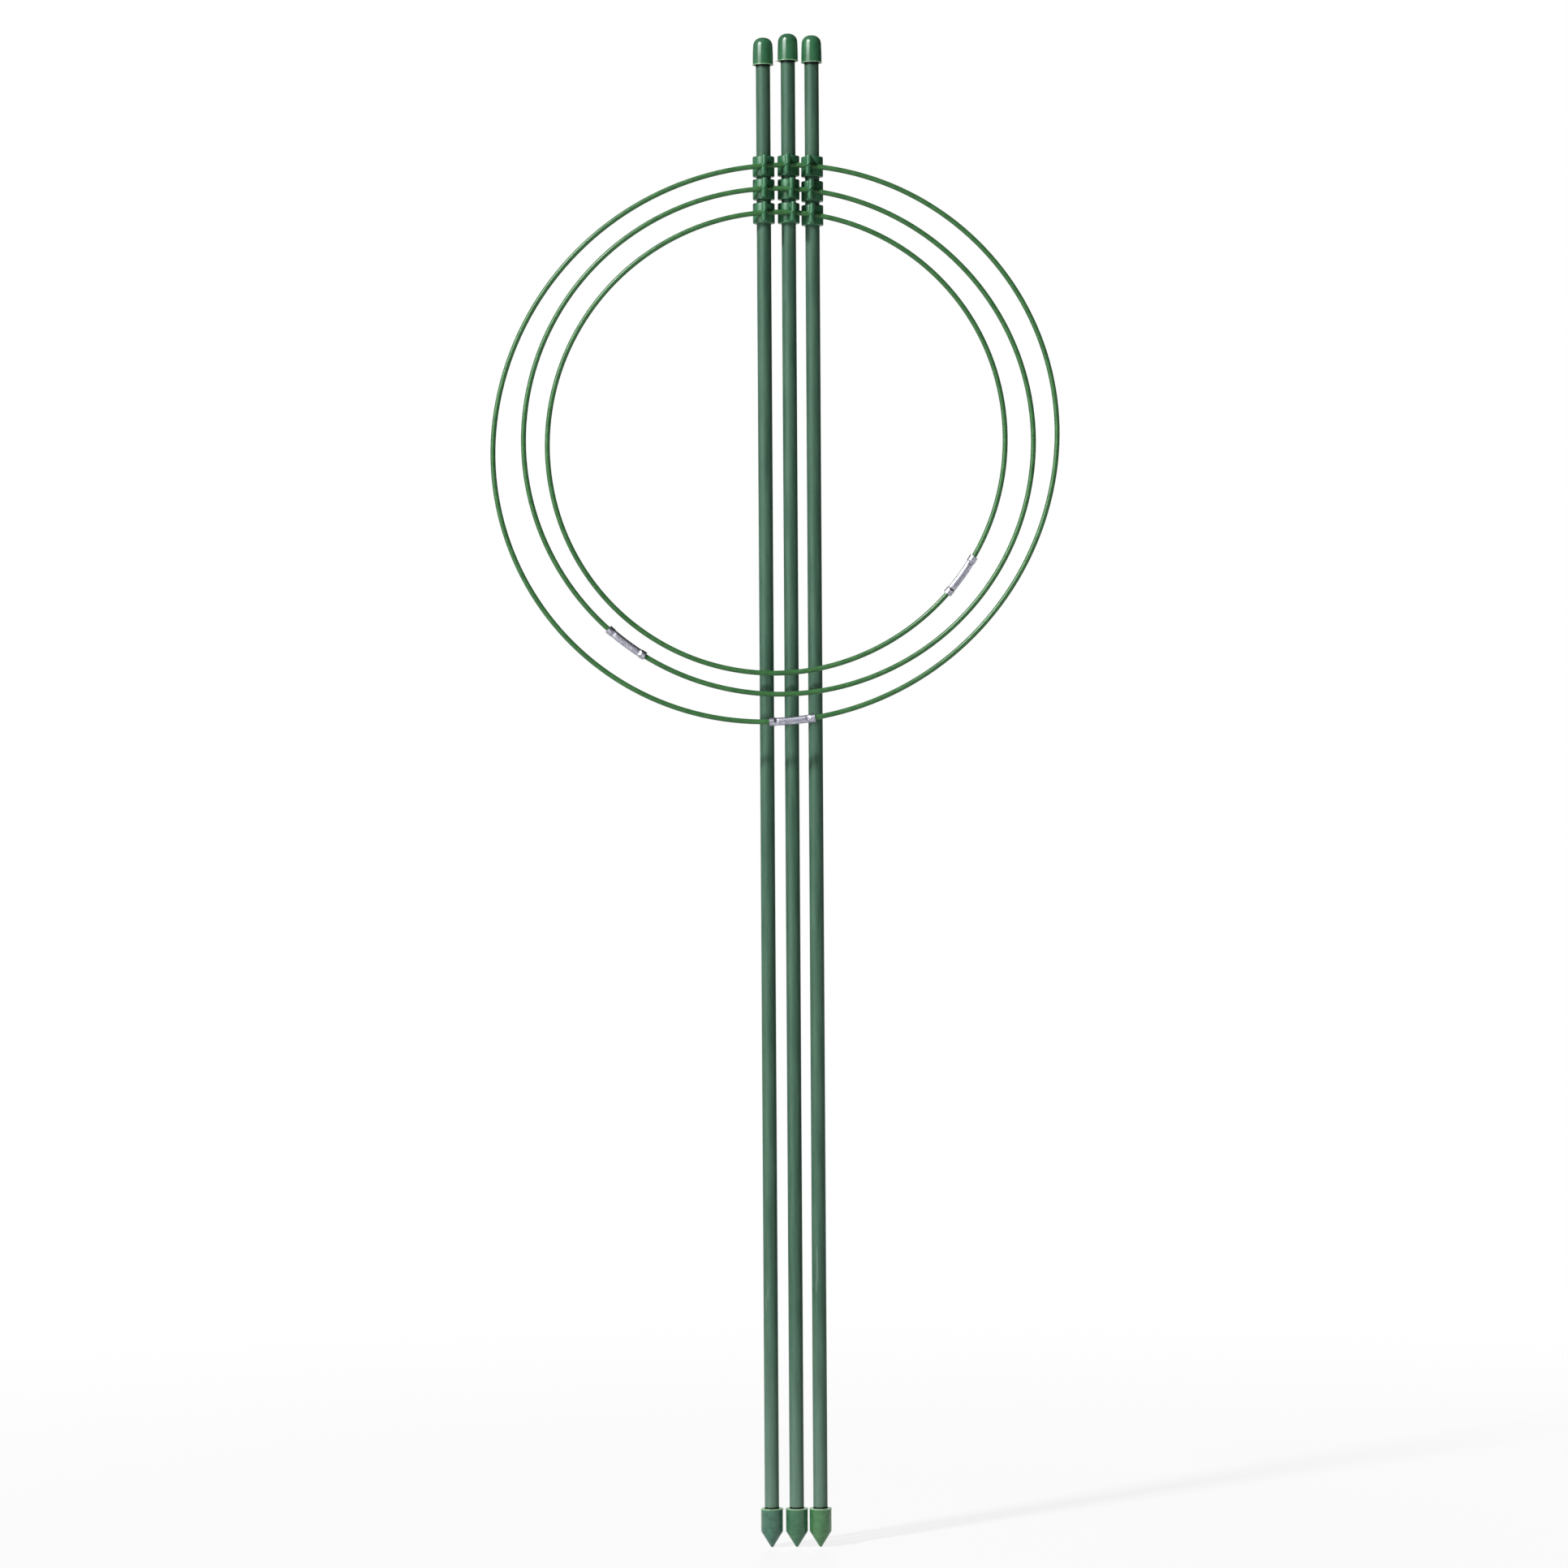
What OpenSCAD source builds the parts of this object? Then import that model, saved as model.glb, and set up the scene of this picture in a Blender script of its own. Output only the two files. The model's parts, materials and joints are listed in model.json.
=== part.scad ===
// Plant support: three coated stakes side by side, with three wire rings that hang in clips near the top.
// Millimetres, +Z up along the stakes, +X to the right, the rings in front of the stakes on the -Y side.
// The origin is the point of the centre stake's foot.

/* [Stakes] */
// Height of the centre stake, from the point of its foot to the top of its cap
stake_height = 895; // [700:5:1200]
// Outer diameter of a stake over its plastic sleeve
sleeve_d = 8.5; // [7:0.1:9.2]
// Wall of the plastic sleeve
sleeve_wall = 0.5; // [0.3:0.1:0.9]
// Wall of the steel tube inside the sleeve
tube_wall = 0.6; // [0.4:0.1:1.2]
// Distance between the axes of the left and centre stakes
stake_pitch = 14.7; // [14.3:0.1:18]
// Length by which the left stake falls short of the centre one
left_short = 2.3; // [0:0.1:8]
// Length by which the right stake falls short of the centre one
right_short = 1.1; // [0:0.1:8]
// Length by which the right stake lies closer to the centre one than the left stake does
right_closer = 0.7; // [0:0.1:0.7]

/* [Caps] */
// Height of a cap
cap_height = 16.4; // [14:0.2:24]
// Diameter of a cap at its mouth
cap_mouth_d = 12.1; // [11.6:0.1:13.5]
// Diameter of a cap where its dome starts
cap_neck_d = 11.6; // [11.2:0.1:13]
// Radius of the dome's shoulder
cap_dome_r = 4.9; // [3:0.1:5.4]
// Thickness of the dome above the end of the tube
cap_roof = 3; // [2:0.1:5]
// Diameter of the rolled lip at the mouth
cap_lip_d = 12.6; // [12.2:0.1:14]
// Height of the rolled lip
cap_lip_h = 0.6; // [0.3:0.1:1.5]

/* [Feet] */
// Diameter of a foot's barrel
foot_d = 13; // [11.5:0.1:13.6]
// Length of the barrel, from the shoulder of the point to the rim
foot_barrel = 12.9; // [10:0.1:25]
// Length of the point below the barrel
foot_point = 9.5; // [6:0.1:20]
// Radius of the blunt tip
foot_tip_r = 1; // [0.5:0.1:2]
// Diameter of the rim at the mouth
foot_rim_d = 13.5; // [13:0.1:13.8]
// Height of the rim
foot_rim_h = 0.6; // [0.3:0.1:2]
// Depth of the socket that takes the stake
foot_socket = 11; // [7:0.1:12]

/* [Clips] */
// Outer diameter of a clip's collar
collar_d = 13; // [12:0.1:13.6]
// Height of a collar
collar_h = 12; // [10:0.1:12.6]
// Angle of the snap mouth at the back of a collar
collar_mouth = 76; // [50:1:100]
// Bevel on the collar's outer edges
collar_bevel = 0.6; // [0.2:0.1:1]
// Height of the collar's top above the middle of the ring wire
collar_over_wire = 6.2; // [4.6:0.1:6.8]
// Diameter of the jaws in front of the wire
jaw_d = 3.3; // [2.8:0.1:4.5]
// Sideways step from the upper jaw to the lower one
jaw_step = 0.4; // [0:0.1:0.8]
// Radius on the free ends of the jaws
jaw_round = 0.9; // [0.3:0.1:1.3]
// Thickness of the webs that carry the jaws
web_w = 2.4; // [1.8:0.1:3]
// Width of the snap slit between the jaws
slit_w = 0.5; // [0.3:0.1:0.9]
// Slope of the snap slit
slit_slope = 38; // [0:1:45]
// Turn of the left stake's clips, from the upper one down
left_turns = [2, 2, 2]; // [-14:0.5:14]
// Turn of the centre stake's clips, from the upper one down
centre_turns = [-3.5, 8, 12]; // [-14:0.5:14]
// Turn of the right stake's clips, from the upper one down
right_turns = [-10, -4.5, -2]; // [-14:0.5:14]

/* [Rings] */
// Diameter of the outer ring, at the middle of its wire
outer_ring_d = 330.5; // [325:0.5:400]
// Diameter of the middle ring
middle_ring_d = 299.5; // [292:0.5:308]
// Diameter of the inner ring
inner_ring_d = 271; // [200:0.5:278]
// Offset of the outer ring's arc centres, which makes it oval by about two fifths of this
outer_oval = 6.8; // [0:0.1:9]
// The same for the middle ring
middle_oval = 1.2; // [0:0.1:4]
// The same for the inner ring
inner_oval = 2.4; // [0:0.1:4]
// Direction of the outer ring's longest radius, clockwise from the top
outer_long_axis = 52; // [0:1:179]
// The same for the middle ring
middle_long_axis = 107; // [0:1:179]
// The same for the inner ring
inner_long_axis = 30; // [0:1:179]
// Distance from the centre stake to the outer ring's centre, along X
outer_shift = -8.9; // [-15:0.1:15]
// The same for the middle ring
middle_shift = -6.9; // [-15:0.1:15]
// The same for the inner ring
inner_shift = -8.2; // [-15:0.1:15]
// Forward lean of the outer ring as it hangs
outer_lean = 2.6; // [2.4:0.1:5]
// Forward lean of the middle ring
middle_lean = 1.7; // [1.5:0.1:1.9]
// Forward lean of the inner ring
inner_lean = 0.8; // [0.4:0.1:1]
// Diameter of the wire over its plastic coating
wire_d = 3; // [2.2:0.1:3.2]
// Wall of the plastic coating
coating_wall = 0.35; // [0.2:0.05:0.6]
// Depth of the outer ring's wire below the top of the centre stake
top_row_depth = 78.6; // [50:0.1:300]
// Distance between the rows of clips
row_pitch = 14; // [13.6:0.1:40]

/* [Ferrules] */
// Length of a ferrule along its ring
ferrule_len = 27; // [16:0.5:34]
// Diameter of the ferrule's end bands
ferrule_band_d = 5.2; // [4.8:0.1:6]
// Length of each end band
ferrule_band = 3.6; // [2:0.1:6]
// Wall of the end bands, which stay open round the wire
ferrule_wall = 0.6; // [0.4:0.1:0.9]
// Diameter of the waist between the bands
ferrule_waist_d = 4.6; // [4.2:0.1:4.7]
// Thickness of the waist across its pressed flats
ferrule_flat = 3.7; // [3.5:0.1:4.1]
// Place of the outer ring's ferrule, in degrees clockwise from the top
outer_ferrule_at = 175; // [40:1:320]
// The same for the middle ring
middle_ferrule_at = 217; // [40:1:320]
// The same for the inner ring
inner_ferrule_at = 126; // [40:1:320]

/* [Clearances] */
// Gap between a metal core and the plastic bonded to it
bond_gap = 0.02; // [0.01:0.01:0.05]
// Gap round a stake in the sockets of its cap and foot
socket_gap = 0.05; // [0.02:0.01:0.1]
// Gap round a stake in a collar
collar_gap = 0.1; // [0.05:0.01:0.2]
// Gap between the collar and the back of the ring wire
back_gap = 0.3; // [0.2:0.05:0.6]
// Gap between the ring wire and its seat in the clip
seat_gap = 0.35; // [0.25:0.05:0.6]
// Free room left in front of and above the wire when its ring is level
swing_gap = 0.5; // [0.3:0.1:1]
// Gap between the two wire ends inside a ferrule
wire_end_gap = 0.6; // [0.2:0.1:2]

/* [Hidden] */

$fn = 64;
// Facets in a full turn of a ring
ring_fn = 360;
// Facets round the section of a ring
section_fn = 48;
// Overlap of a cutting shape past the face that it cuts
cut = 1;

// Columns of stakes and rows of rings, as indexes
LEFT = 0;
CENTRE = 1;
RIGHT = 2;
OUTER = 0;
MIDDLE = 1;
INNER = 2;

stake_green = [0.27, 0.40, 0.33];
cap_green = [0.18, 0.42, 0.28];
clip_green = [0.20, 0.40, 0.28];
wire_green = [0.29, 0.53, 0.29];
steel_grey = [0.55, 0.56, 0.58];
aluminium_grey = [0.75, 0.75, 0.79];

// Stakes
sleeve_r = sleeve_d / 2;
tube_r = sleeve_r - sleeve_wall - bond_gap;
stake_x = [-stake_pitch, 0, stake_pitch - right_closer];
stake_top = [stake_height - left_short, stake_height, stake_height - right_short];
foot_top = foot_point + foot_barrel + foot_rim_h;
tube_bottom = foot_top - foot_socket;
function tube_top(column) = stake_top[column] - cap_roof;

// Clips: the wire runs past the front of the collar, and swings forward at the outer stakes as a ring turns
wire_r = wire_d / 2;
collar_r = collar_d / 2;
collar_bore_r = sleeve_r + collar_gap;
wire_reach = collar_r + back_gap + wire_r;
swing_room = pow(stake_pitch, 2) / inner_ring_d;
eye_front = wire_reach + wire_r + swing_room + swing_gap;
eye_top = wire_r + swing_room + swing_gap;
eye_bottom = wire_r + seat_gap;
collar_under_wire = collar_h - collar_over_wire;
jaw_r = jaw_d / 2;
jaw_reach = eye_front + jaw_r;
clip_turns = [left_turns, centre_turns, right_turns];

// Rings: each is four tangent quarter arcs, in a frame of its own that is turned by ring_turn
ring_d = [outer_ring_d, middle_ring_d, inner_ring_d];
ring_oval = [outer_oval, middle_oval, inner_oval];
ring_turn = [outer_long_axis - 45, middle_long_axis - 45, inner_long_axis - 45];
ring_shift = [outer_shift, middle_shift, inner_shift];
ring_lean = [outer_lean, middle_lean, inner_lean];
ferrule_at = [outer_ferrule_at, middle_ferrule_at, inner_ferrule_at];
top_row_z = stake_height - top_row_depth;
row_z = [top_row_z, top_row_z - row_pitch, top_row_z - 2 * row_pitch];
core_r = wire_r - coating_wall - bond_gap;
// Angle of one arc
quarter = 90;
// Angle by which the bar inside a meeting of two arcs reaches into each
arc_lap = 2;
// Signs of the centres of the four arcs, clockwise from the top right one
ARC_SIGNS = [[1, 1], [-1, 1], [-1, -1], [1, -1]];

// Unit direction at a clockwise angle from the top
function clockwise(angle) = [sin(angle), cos(angle)];
function turned(point, angle) =
    [point[0] * cos(angle) + point[1] * sin(angle), point[1] * cos(angle) - point[0] * sin(angle)];
function full_turn(angle) = angle - 360 * floor(angle / 360);
function arc_radius(ring, k) = ring_d[ring] / 2 + (k % 2 == 0 ? -ring_oval[ring] : ring_oval[ring]);
function arc_centre(ring, k) = ring_oval[ring] * ARC_SIGNS[k];
// Arc that holds a clockwise angle
function arc_at(ring, angle) = floor(full_turn(angle - ring_turn[ring]) / quarter);
function ring_point(ring, angle) =
    let (k = arc_at(ring, angle))
    turned(arc_centre(ring, k), ring_turn[ring]) + arc_radius(ring, k) * clockwise(angle);
// Clockwise angle at which the upper half of a ring passes a distance x from its centre
function angle_at_x(ring, x) =
    [for (k = [0:3])
        let (
            centre_x = turned(arc_centre(ring, k), ring_turn[ring])[0],
            angle = asin((x - centre_x) / arc_radius(ring, k))
        )
        if (arc_at(ring, angle) == k) angle][0];

// Where the wire crosses the jaws of a clip
function hook_x(column, ring) = stake_x[column] + wire_reach * tan(clip_turns[column][ring]);
function hook_angle(column, ring) = angle_at_x(ring, hook_x(column, ring) - ring_shift[ring]);
function hook_drop(column, ring) =
    ring_point(ring, hook_angle(CENTRE, ring))[1] - ring_point(ring, hook_angle(column, ring))[1];

// Arc under a ferrule, its clockwise angle in the ring's own frame, and lengths along it as angles
function ferrule_arc(ring) = arc_at(ring, ferrule_at[ring]);
function ferrule_angle(ring) = ferrule_at[ring] - ring_turn[ring];
function angle_of(ring, length) = length / arc_radius(ring, ferrule_arc(ring)) * 180 / PI;

// Steel tube of one stake
module steel_tube(column) {
    color(steel_grey)
    translate([stake_x[column], 0, tube_bottom])
    linear_extrude(tube_top(column) - tube_bottom)
    difference() {
        circle(tube_r);
        circle(tube_r - tube_wall);
    }
}

// Plastic sleeve bonded over the tube
module plastic_sleeve(column) {
    color(stake_green)
    translate([stake_x[column], 0, tube_bottom])
    linear_extrude(tube_top(column) - tube_bottom)
    difference() {
        circle(sleeve_r);
        circle(sleeve_r - sleeve_wall);
    }
}

// Half of the profile of a disc with a full round edge
module round_disc(disc_r, height) {
    edge_r = height / 2;
    square([disc_r - edge_r, height]);
    translate([disc_r - edge_r, edge_r])
    circle(edge_r);
}

// Half of a cap's outer profile: rolled lip, tapered wall and domed top
module cap_profile() {
    dome_z = cap_height - cap_dome_r;
    round_disc(cap_lip_d / 2, cap_lip_h);
    polygon([
        [0, cap_lip_h / 2],
        [cap_mouth_d / 2, cap_lip_h / 2],
        [cap_neck_d / 2, dome_z],
        [0, dome_z]
    ]);
    intersection() {
        translate([cap_neck_d / 2 - cap_dome_r, dome_z])
        circle(cap_dome_r);
        translate([0, dome_z])
        square([cap_neck_d / 2, cap_dome_r]);
    }
    translate([0, dome_z])
    square([cap_neck_d / 2 - cap_dome_r, cap_dome_r]);
}

// Domed cap pushed over the top of one stake
module top_cap(column) {
    socket_r = sleeve_r + socket_gap;
    color(cap_green)
    translate([stake_x[column], 0, stake_top[column] - cap_height])
    difference() {
        rotate_extrude()
        cap_profile();
        translate([0, 0, -cut])
        cylinder(r = socket_r, h = cap_height - cap_roof + cut);
    }
}

// Half of a foot's outer profile: blunt tip, cone tangent to it, barrel and round rim
module foot_profile() {
    barrel_r = foot_d / 2;
    barrel_top = foot_top - foot_rim_h / 2;
    rise = foot_point - foot_tip_r;
    tangent = atan2(rise, barrel_r) - acos(foot_tip_r / norm([barrel_r, rise]));
    intersection() {
        translate([0, foot_tip_r])
        circle(foot_tip_r);
        square([foot_tip_r, 2 * foot_tip_r]);
    }
    polygon([
        [0, foot_tip_r],
        [foot_tip_r * cos(tangent), foot_tip_r + foot_tip_r * sin(tangent)],
        [barrel_r, foot_point],
        [barrel_r, barrel_top],
        [0, barrel_top]
    ]);
    translate([0, foot_top - foot_rim_h])
    round_disc(foot_rim_d / 2, foot_rim_h);
}

// Pointed foot that takes the lower end of one stake
module pointed_foot(column) {
    color(cap_green)
    translate([stake_x[column], 0, 0])
    difference() {
        rotate_extrude()
        foot_profile();
        translate([0, 0, tube_bottom])
        cylinder(r = sleeve_r + socket_gap, h = foot_socket + cut);
    }
}

// Plan of a collar: a C with round lips at the mouth behind the stake
module collar_plan() {
    mid_r = (collar_r + collar_bore_r) / 2;
    lip_r = (collar_r - collar_bore_r) / 2;
    half = collar_mouth / 2;
    reach = 2 * collar_r;
    difference() {
        circle(collar_r);
        circle(collar_bore_r);
        polygon([
            [0, 0],
            reach * clockwise(-half),
            [0, 2 * reach],
            reach * clockwise(half)
        ]);
    }
    for (side = [-1, 1]) {
        translate(mid_r * clockwise(side * half))
        circle(lip_r);
    }
}

// Collar with bevelled edges, from the bottom of the clip to its top
module collar() {
    intersection() {
        translate([0, 0, -collar_under_wire])
        linear_extrude(collar_h)
        collar_plan();
        rotate_extrude()
        polygon([
            [0, -collar_under_wire],
            [collar_r - collar_bevel, -collar_under_wire],
            [collar_r, collar_bevel - collar_under_wire],
            [collar_r, collar_over_wire - collar_bevel],
            [collar_r - collar_bevel, collar_over_wire],
            [0, collar_over_wire]
        ]);
    }
}

// Round jaw that stands from the slit to its rounded free end
module jaw(length) {
    rotate_extrude() {
        square([jaw_r, length - jaw_round]);
        square([jaw_r - jaw_round, length]);
        intersection() {
            translate([jaw_r - jaw_round, length - jaw_round])
            circle(jaw_round);
            square([jaw_r, length]);
        }
    }
}

// One-piece clip: a collar, an eye for the wire and two jaws with a sloping snap slit between them
module clip(column, ring) {
    web_back = (collar_r + collar_bore_r) / 2;
    eye_back = wire_reach - wire_r - back_gap;
    color(clip_green)
    translate([stake_x[column], 0, row_z[ring] - hook_drop(column, ring)])
    rotate([0, 0, clip_turns[column][ring]])
    union() {
        collar();
        difference() {
            union() {
                translate([-web_w / 2, -jaw_reach, eye_top])
                cube([web_w, jaw_reach - web_back, collar_over_wire - collar_bevel - eye_top]);
                translate([-web_w / 2, -jaw_reach, collar_bevel - collar_under_wire])
                cube([web_w, jaw_reach - web_back, collar_under_wire - collar_bevel - eye_bottom]);
                translate([jaw_step / 2, -jaw_reach, 0])
                jaw(collar_over_wire);
                translate([-jaw_step / 2, -jaw_reach, 0])
                mirror([0, 0, 1])
                jaw(collar_under_wire);
            }
            translate([0, -jaw_reach, 0])
            rotate([0, -slit_slope, 0])
            cube([3 * jaw_d, 2 * jaw_d, slit_w], center = true);
        }
    }
}

// Sweep of a profile along one arc of a ring, between two clockwise angles in the ring's own frame
module along_arc(ring, k, first, last) {
    translate(arc_centre(ring, k))
    rotate([0, 0, quarter - last])
    rotate_extrude(angle = last - first, $fn = ring_fn)
    translate([arc_radius(ring, k), 0])
    let ($fn = section_fn)
    children();
}

// Closed round bar along the four arcs of a ring
module ring_bar(ring, bar_r) {
    for (arc = [0:3]) {
        along_arc(ring, arc, quarter * arc, quarter * (arc + 1))
        circle(bar_r);
    }
}

// Short bars inside the meetings of the arcs, which carry each arc over into the next
module arc_laps(ring, lap_r) {
    for (arc = [0:3]) {
        along_arc(ring, arc, quarter * (arc + 1) - arc_lap, quarter * (arc + 1) + arc_lap)
        circle(lap_r);
    }
}

// Gap where the two wire ends face each other inside the ferrule
module wire_parting(ring) {
    k = ferrule_arc(ring);
    part_size = 2 * wire_d;
    translate(arc_centre(ring, k))
    rotate([0, 0, quarter - ferrule_angle(ring)])
    translate([arc_radius(ring, k), 0, 0])
    cube([part_size, wire_end_gap, part_size], center = true);
}

// Places a ring, drawn in its own frame, so that its wire lies in the centre clip and leans forward
module hang(ring) {
    angle = hook_angle(CENTRE, ring);
    top = ring_point(ring, angle);
    translate([hook_x(CENTRE, ring), -wire_reach, row_z[ring]])
    rotate(a = ring_lean[ring], v = [-cos(angle), 0, sin(angle)])
    rotate([90, 0, 0])
    translate([-top[0], -top[1], 0])
    rotate([0, 0, -ring_turn[ring]])
    children();
}

// Steel core of one ring, open inside its ferrule
module wire_core(ring) {
    color(steel_grey)
    hang(ring)
    difference() {
        union() {
            ring_bar(ring, core_r);
            arc_laps(ring, core_r / 2);
        }
        wire_parting(ring);
    }
}

// Plastic coating over the core
module wire_coating(ring) {
    color(wire_green)
    hang(ring)
    difference() {
        union() {
            ring_bar(ring, wire_r);
            arc_laps(ring, wire_r - coating_wall / 2);
        }
        ring_bar(ring, wire_r - coating_wall);
        wire_parting(ring);
    }
}

// Crimped ferrule that closes a ring: open round end bands, and a waist pressed thin and flat between them
module ferrule(ring) {
    k = ferrule_arc(ring);
    at = ferrule_angle(ring);
    half = angle_of(ring, ferrule_len / 2);
    waist = half - angle_of(ring, ferrule_band);
    mouth = waist + angle_of(ring, ferrule_wall);
    past = half + angle_of(ring, cut);
    color(aluminium_grey)
    hang(ring)
    difference() {
        along_arc(ring, k, at - half, at + half)
        circle(ferrule_band_d / 2);
        along_arc(ring, k, at - past, at + past)
        circle(wire_r + bond_gap);
        for (first = [-past, mouth]) {
            along_arc(ring, k, at + first, at + first + past - mouth)
            circle(ferrule_band_d / 2 - ferrule_wall);
        }
        along_arc(ring, k, at - waist, at + waist)
        difference() {
            square(2 * ferrule_band_d, center = true);
            intersection() {
                circle(ferrule_waist_d / 2);
                square([ferrule_waist_d, ferrule_flat], center = true);
            }
        }
    }
}

steel_tube(LEFT);  // left_tube
steel_tube(CENTRE);  // centre_tube
steel_tube(RIGHT);  // right_tube
plastic_sleeve(LEFT);  // left_sleeve
plastic_sleeve(CENTRE);  // centre_sleeve
plastic_sleeve(RIGHT);  // right_sleeve
top_cap(LEFT);  // left_cap
top_cap(CENTRE);  // centre_cap
top_cap(RIGHT);  // right_cap
pointed_foot(LEFT);  // left_foot
pointed_foot(CENTRE);  // centre_foot
pointed_foot(RIGHT);  // right_foot
clip(LEFT, OUTER);  // left_upper_clip
clip(CENTRE, OUTER);  // centre_upper_clip
clip(RIGHT, OUTER);  // right_upper_clip
clip(LEFT, MIDDLE);  // left_middle_clip
clip(CENTRE, MIDDLE);  // centre_middle_clip
clip(RIGHT, MIDDLE);  // right_middle_clip
clip(LEFT, INNER);  // left_lower_clip
clip(CENTRE, INNER);  // centre_lower_clip
clip(RIGHT, INNER);  // right_lower_clip
wire_core(OUTER);  // outer_wire
wire_core(MIDDLE);  // middle_wire
wire_core(INNER);  // inner_wire
wire_coating(OUTER);  // outer_coating
wire_coating(MIDDLE);  // middle_coating
wire_coating(INNER);  // inner_coating
ferrule(OUTER);  // outer_ferrule
ferrule(MIDDLE);  // middle_ferrule
ferrule(INNER);  // inner_ferrule
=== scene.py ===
# %% [markdown]
# # A plant support with three stakes and three rings
# Three coated stakes stand side by side. Nine snap clips hold three wire rings in front of them, packed flat
# the way the set is sold. The solids come with their sizes and joints, so this lesson never moves them. It
# models a finished piece in the place of each solid that shows, gives it the look of the real plastic or
# metal, and lets it ride on the same body, so that the dressed support still slides and tilts.

# %% Load the frame
import json
import math
import random

import bmesh
import bpy
from bmesh.types import BMEdge, BMFace, BMVert
from mathutils import Matrix, Vector

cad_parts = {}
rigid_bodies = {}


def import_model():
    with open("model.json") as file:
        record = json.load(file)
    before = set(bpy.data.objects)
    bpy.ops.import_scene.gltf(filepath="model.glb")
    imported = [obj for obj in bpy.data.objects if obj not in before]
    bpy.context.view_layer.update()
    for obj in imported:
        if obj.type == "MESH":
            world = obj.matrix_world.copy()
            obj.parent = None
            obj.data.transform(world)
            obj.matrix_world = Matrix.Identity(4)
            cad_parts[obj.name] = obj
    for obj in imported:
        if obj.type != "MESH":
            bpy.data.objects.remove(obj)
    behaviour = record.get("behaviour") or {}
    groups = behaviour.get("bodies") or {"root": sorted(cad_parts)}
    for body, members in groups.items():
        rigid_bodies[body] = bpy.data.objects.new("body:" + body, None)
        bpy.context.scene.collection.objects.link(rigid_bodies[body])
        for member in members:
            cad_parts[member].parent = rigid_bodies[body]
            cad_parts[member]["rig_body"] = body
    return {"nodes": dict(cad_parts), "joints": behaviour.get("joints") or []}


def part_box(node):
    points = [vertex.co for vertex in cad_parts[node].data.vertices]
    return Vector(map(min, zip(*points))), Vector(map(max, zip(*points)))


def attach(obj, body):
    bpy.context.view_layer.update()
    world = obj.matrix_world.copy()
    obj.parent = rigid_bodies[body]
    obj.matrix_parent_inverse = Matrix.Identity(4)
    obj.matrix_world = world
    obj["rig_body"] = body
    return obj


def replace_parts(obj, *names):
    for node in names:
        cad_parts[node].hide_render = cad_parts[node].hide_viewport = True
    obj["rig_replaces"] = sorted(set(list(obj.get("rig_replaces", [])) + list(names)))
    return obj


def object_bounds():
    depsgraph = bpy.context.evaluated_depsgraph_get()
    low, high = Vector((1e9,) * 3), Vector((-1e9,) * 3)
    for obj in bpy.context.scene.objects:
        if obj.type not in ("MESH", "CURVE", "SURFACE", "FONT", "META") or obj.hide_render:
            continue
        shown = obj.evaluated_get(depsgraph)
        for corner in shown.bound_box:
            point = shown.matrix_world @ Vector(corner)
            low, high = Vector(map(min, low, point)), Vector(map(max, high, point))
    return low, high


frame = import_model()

MM = 0.001
cad_low, cad_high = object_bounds()

# %% [markdown]
# ## The camera
# The picture was taken square on, from about three metres, level with the middle of the stakes. From there
# the caps show a little of their undersides, and the feet a little of their rims. A long lens at the true
# distance gives that by itself. The set lies a third of a degree off the upright, so the camera is rolled.

# %% Camera
VIEW_WIDTH = 927.4 * MM
VIEW_CENTRE = Vector((-4.9 * MM, 0, 451.3 * MM))
VIEW_DISTANCE = 3.0
VIEW_ROLL = math.radians(-0.36)
SENSOR_MM = 36

camera_data = bpy.data.cameras.new("photo_camera")
camera_data.sensor_width = SENSOR_MM
camera_data.lens = SENSOR_MM * VIEW_DISTANCE / VIEW_WIDTH
camera = bpy.data.objects.new("photo_camera", camera_data)
camera.matrix_world = (
    Matrix.Translation(VIEW_CENTRE - Vector((0, VIEW_DISTANCE, 0)))
    @ Matrix.Rotation(math.radians(90), 4, "X")
    @ Matrix.Rotation(VIEW_ROLL, 4, "Z")
)
bpy.context.scene.collection.objects.link(camera)
bpy.context.scene.camera = camera
bpy.context.scene.view_settings.view_transform = "Standard"
print("lens:", round(camera_data.lens, 1), "mm")

# %% [markdown]
# ## Node helpers
# Every finish below is a few nodes: a noise, a ramp that sets how strongly it acts, and a socket of the
# shader. A few small helpers keep those cells short. Colours are written as a picture editor shows them.


# %% Node helpers
def srgb(red, green, blue):
    """The linear colour behind a picture editor's values, which run from 0 to 255."""
    shares = [value / 255 for value in (red, green, blue)]
    linear = [s / 12.92 if s <= 0.04045 else ((s + 0.055) / 1.055) ** 2.4 for s in shares]
    return (*linear, 1)


def add_node(tree, kind, settings=None, links=None):
    """A node with its input values set, and with its inputs linked from other nodes' sockets."""
    node = tree.nodes.new(kind)
    for name, value in (settings or {}).items():
        node.inputs[name].default_value = value
    for name, socket in (links or {}).items():
        tree.links.new(socket, node.inputs[name])
    return node


def worked_out(tree, operation, first, second):
    """A socket with what a Math node makes of two other sockets."""
    node = tree.nodes.new("ShaderNodeMath")
    node.operation = operation
    tree.links.new(first, node.inputs[0])
    tree.links.new(second, node.inputs[1])
    return node.outputs[0]


def ramped(tree, value, start, end, low=0.0, high=1.0):
    """A socket that runs from low to high while the value runs from start to end, and stays level outside."""
    limits = {"From Min": start, "From Max": end, "To Min": low, "To Max": high}
    return add_node(tree, "ShaderNodeMapRange", limits, {"Value": value}).outputs[0]


def mixed_shader(tree, share, first, second):
    """A node that turns the first shader into the second as the share goes from 0 to 1."""
    mix = add_node(tree, "ShaderNodeMixShader", links={"Fac": share})
    tree.links.new(first.outputs[0], mix.inputs[1])
    tree.links.new(second.outputs[0], mix.inputs[2])
    return mix


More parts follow.
